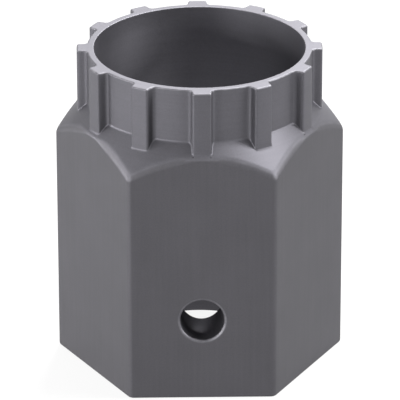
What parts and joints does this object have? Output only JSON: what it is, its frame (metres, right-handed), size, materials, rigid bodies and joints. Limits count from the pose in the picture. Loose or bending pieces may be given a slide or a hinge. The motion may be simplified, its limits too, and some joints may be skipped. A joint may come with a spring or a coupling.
{
  "type": "cassette lockring tool",
  "caption": "Hexagonal steel socket with a splined crown on a bored end, for turning a bicycle cassette lockring.",
  "frame": {"origin": "centre of the base, on the tool's axis", "axes": "+Z along the axis from the base to the splined crown; the flat with the cross hole faces -Y; two corners of the hexagon lie on X"},
  "size_m": [0.0276, 0.024, 0.0314],
  "materials": {
    "oxide_grey_steel": "matt grey oxide"
  },
  "bodies": {
    "root": {"lockring_tool": "oxide_grey_steel"}
  },
  "joints": []
}
